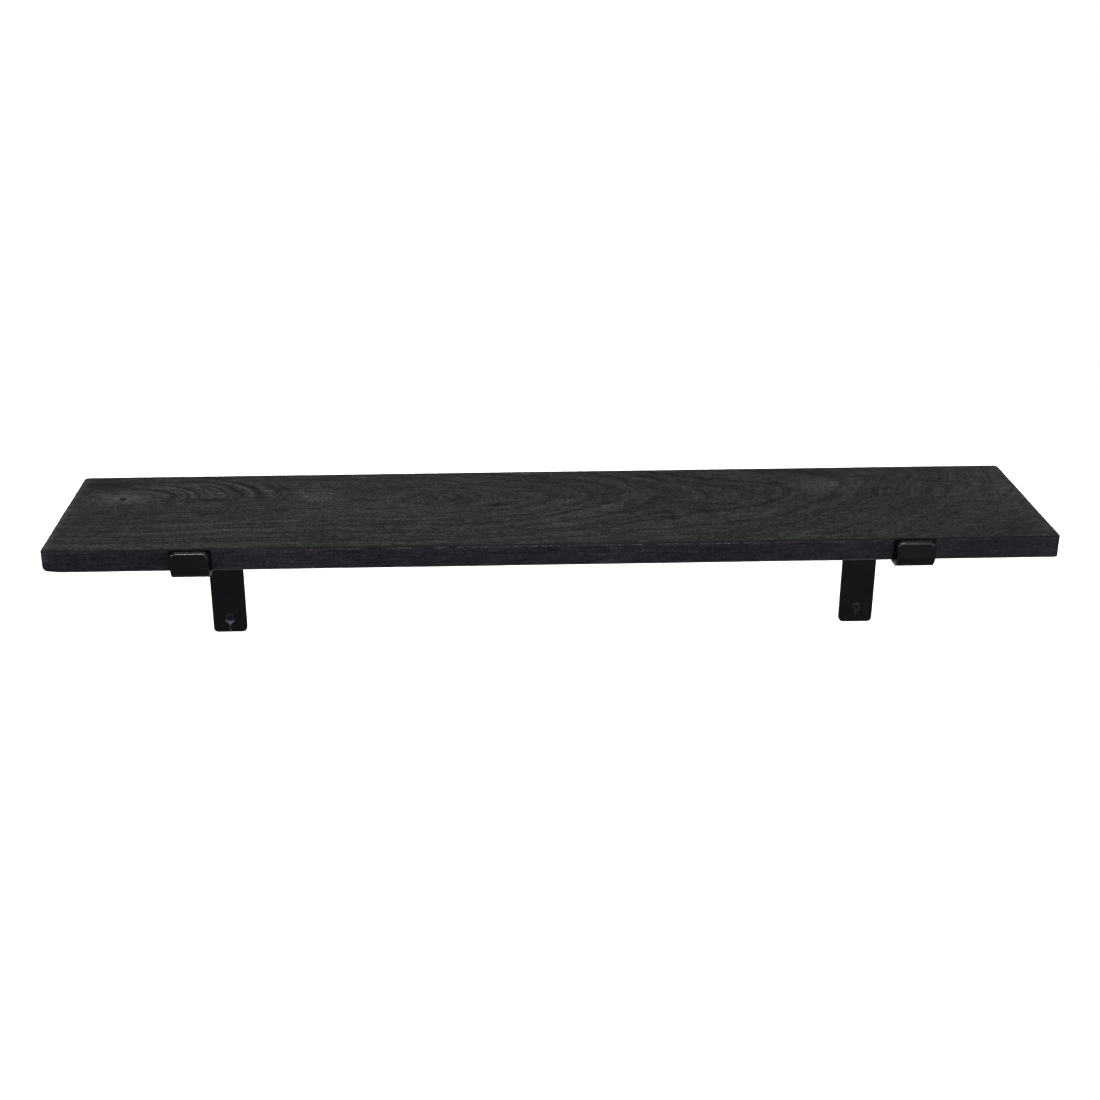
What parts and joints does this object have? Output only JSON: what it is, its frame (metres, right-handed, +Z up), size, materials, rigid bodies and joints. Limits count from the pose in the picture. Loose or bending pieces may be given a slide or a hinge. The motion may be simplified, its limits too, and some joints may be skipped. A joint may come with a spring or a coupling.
{
  "type": "wall shelf with brackets",
  "caption": "Straight wooden wall shelf, stained black, on two black flat-bar brackets that turn up over its front edge and are screwed to the wall below it.",
  "frame": {"origin": "centre of the pattern of four wall screws, on the wall's surface, midway between the brackets", "axes": "+X along the shelf, to the right of someone facing it; +Y into the wall; +Z up"},
  "size_m": [0.8, 0.2187, 0.148],
  "materials": {
    "stained_wood": "black stain under a matt oil, open grain, worn front arris",
    "bracket_coating": "fine black powder coat on steel, satin",
    "wall_screw_coating": "black phosphate on steel",
    "board_screw_coating": "black phosphate on steel"
  },
  "bodies": {
    "root": {"shelf_board": "stained_wood", "left_bracket": "bracket_coating", "right_bracket": "bracket_coating", "left_upper_wall_screw": "wall_screw_coating", "left_lower_wall_screw": "wall_screw_coating", "right_upper_wall_screw": "wall_screw_coating", "right_lower_wall_screw": "wall_screw_coating", "left_rear_board_screw": "board_screw_coating", "left_front_board_screw": "board_screw_coating", "right_rear_board_screw": "board_screw_coating", "right_front_board_screw": "board_screw_coating"}
  },
  "joints": []
}
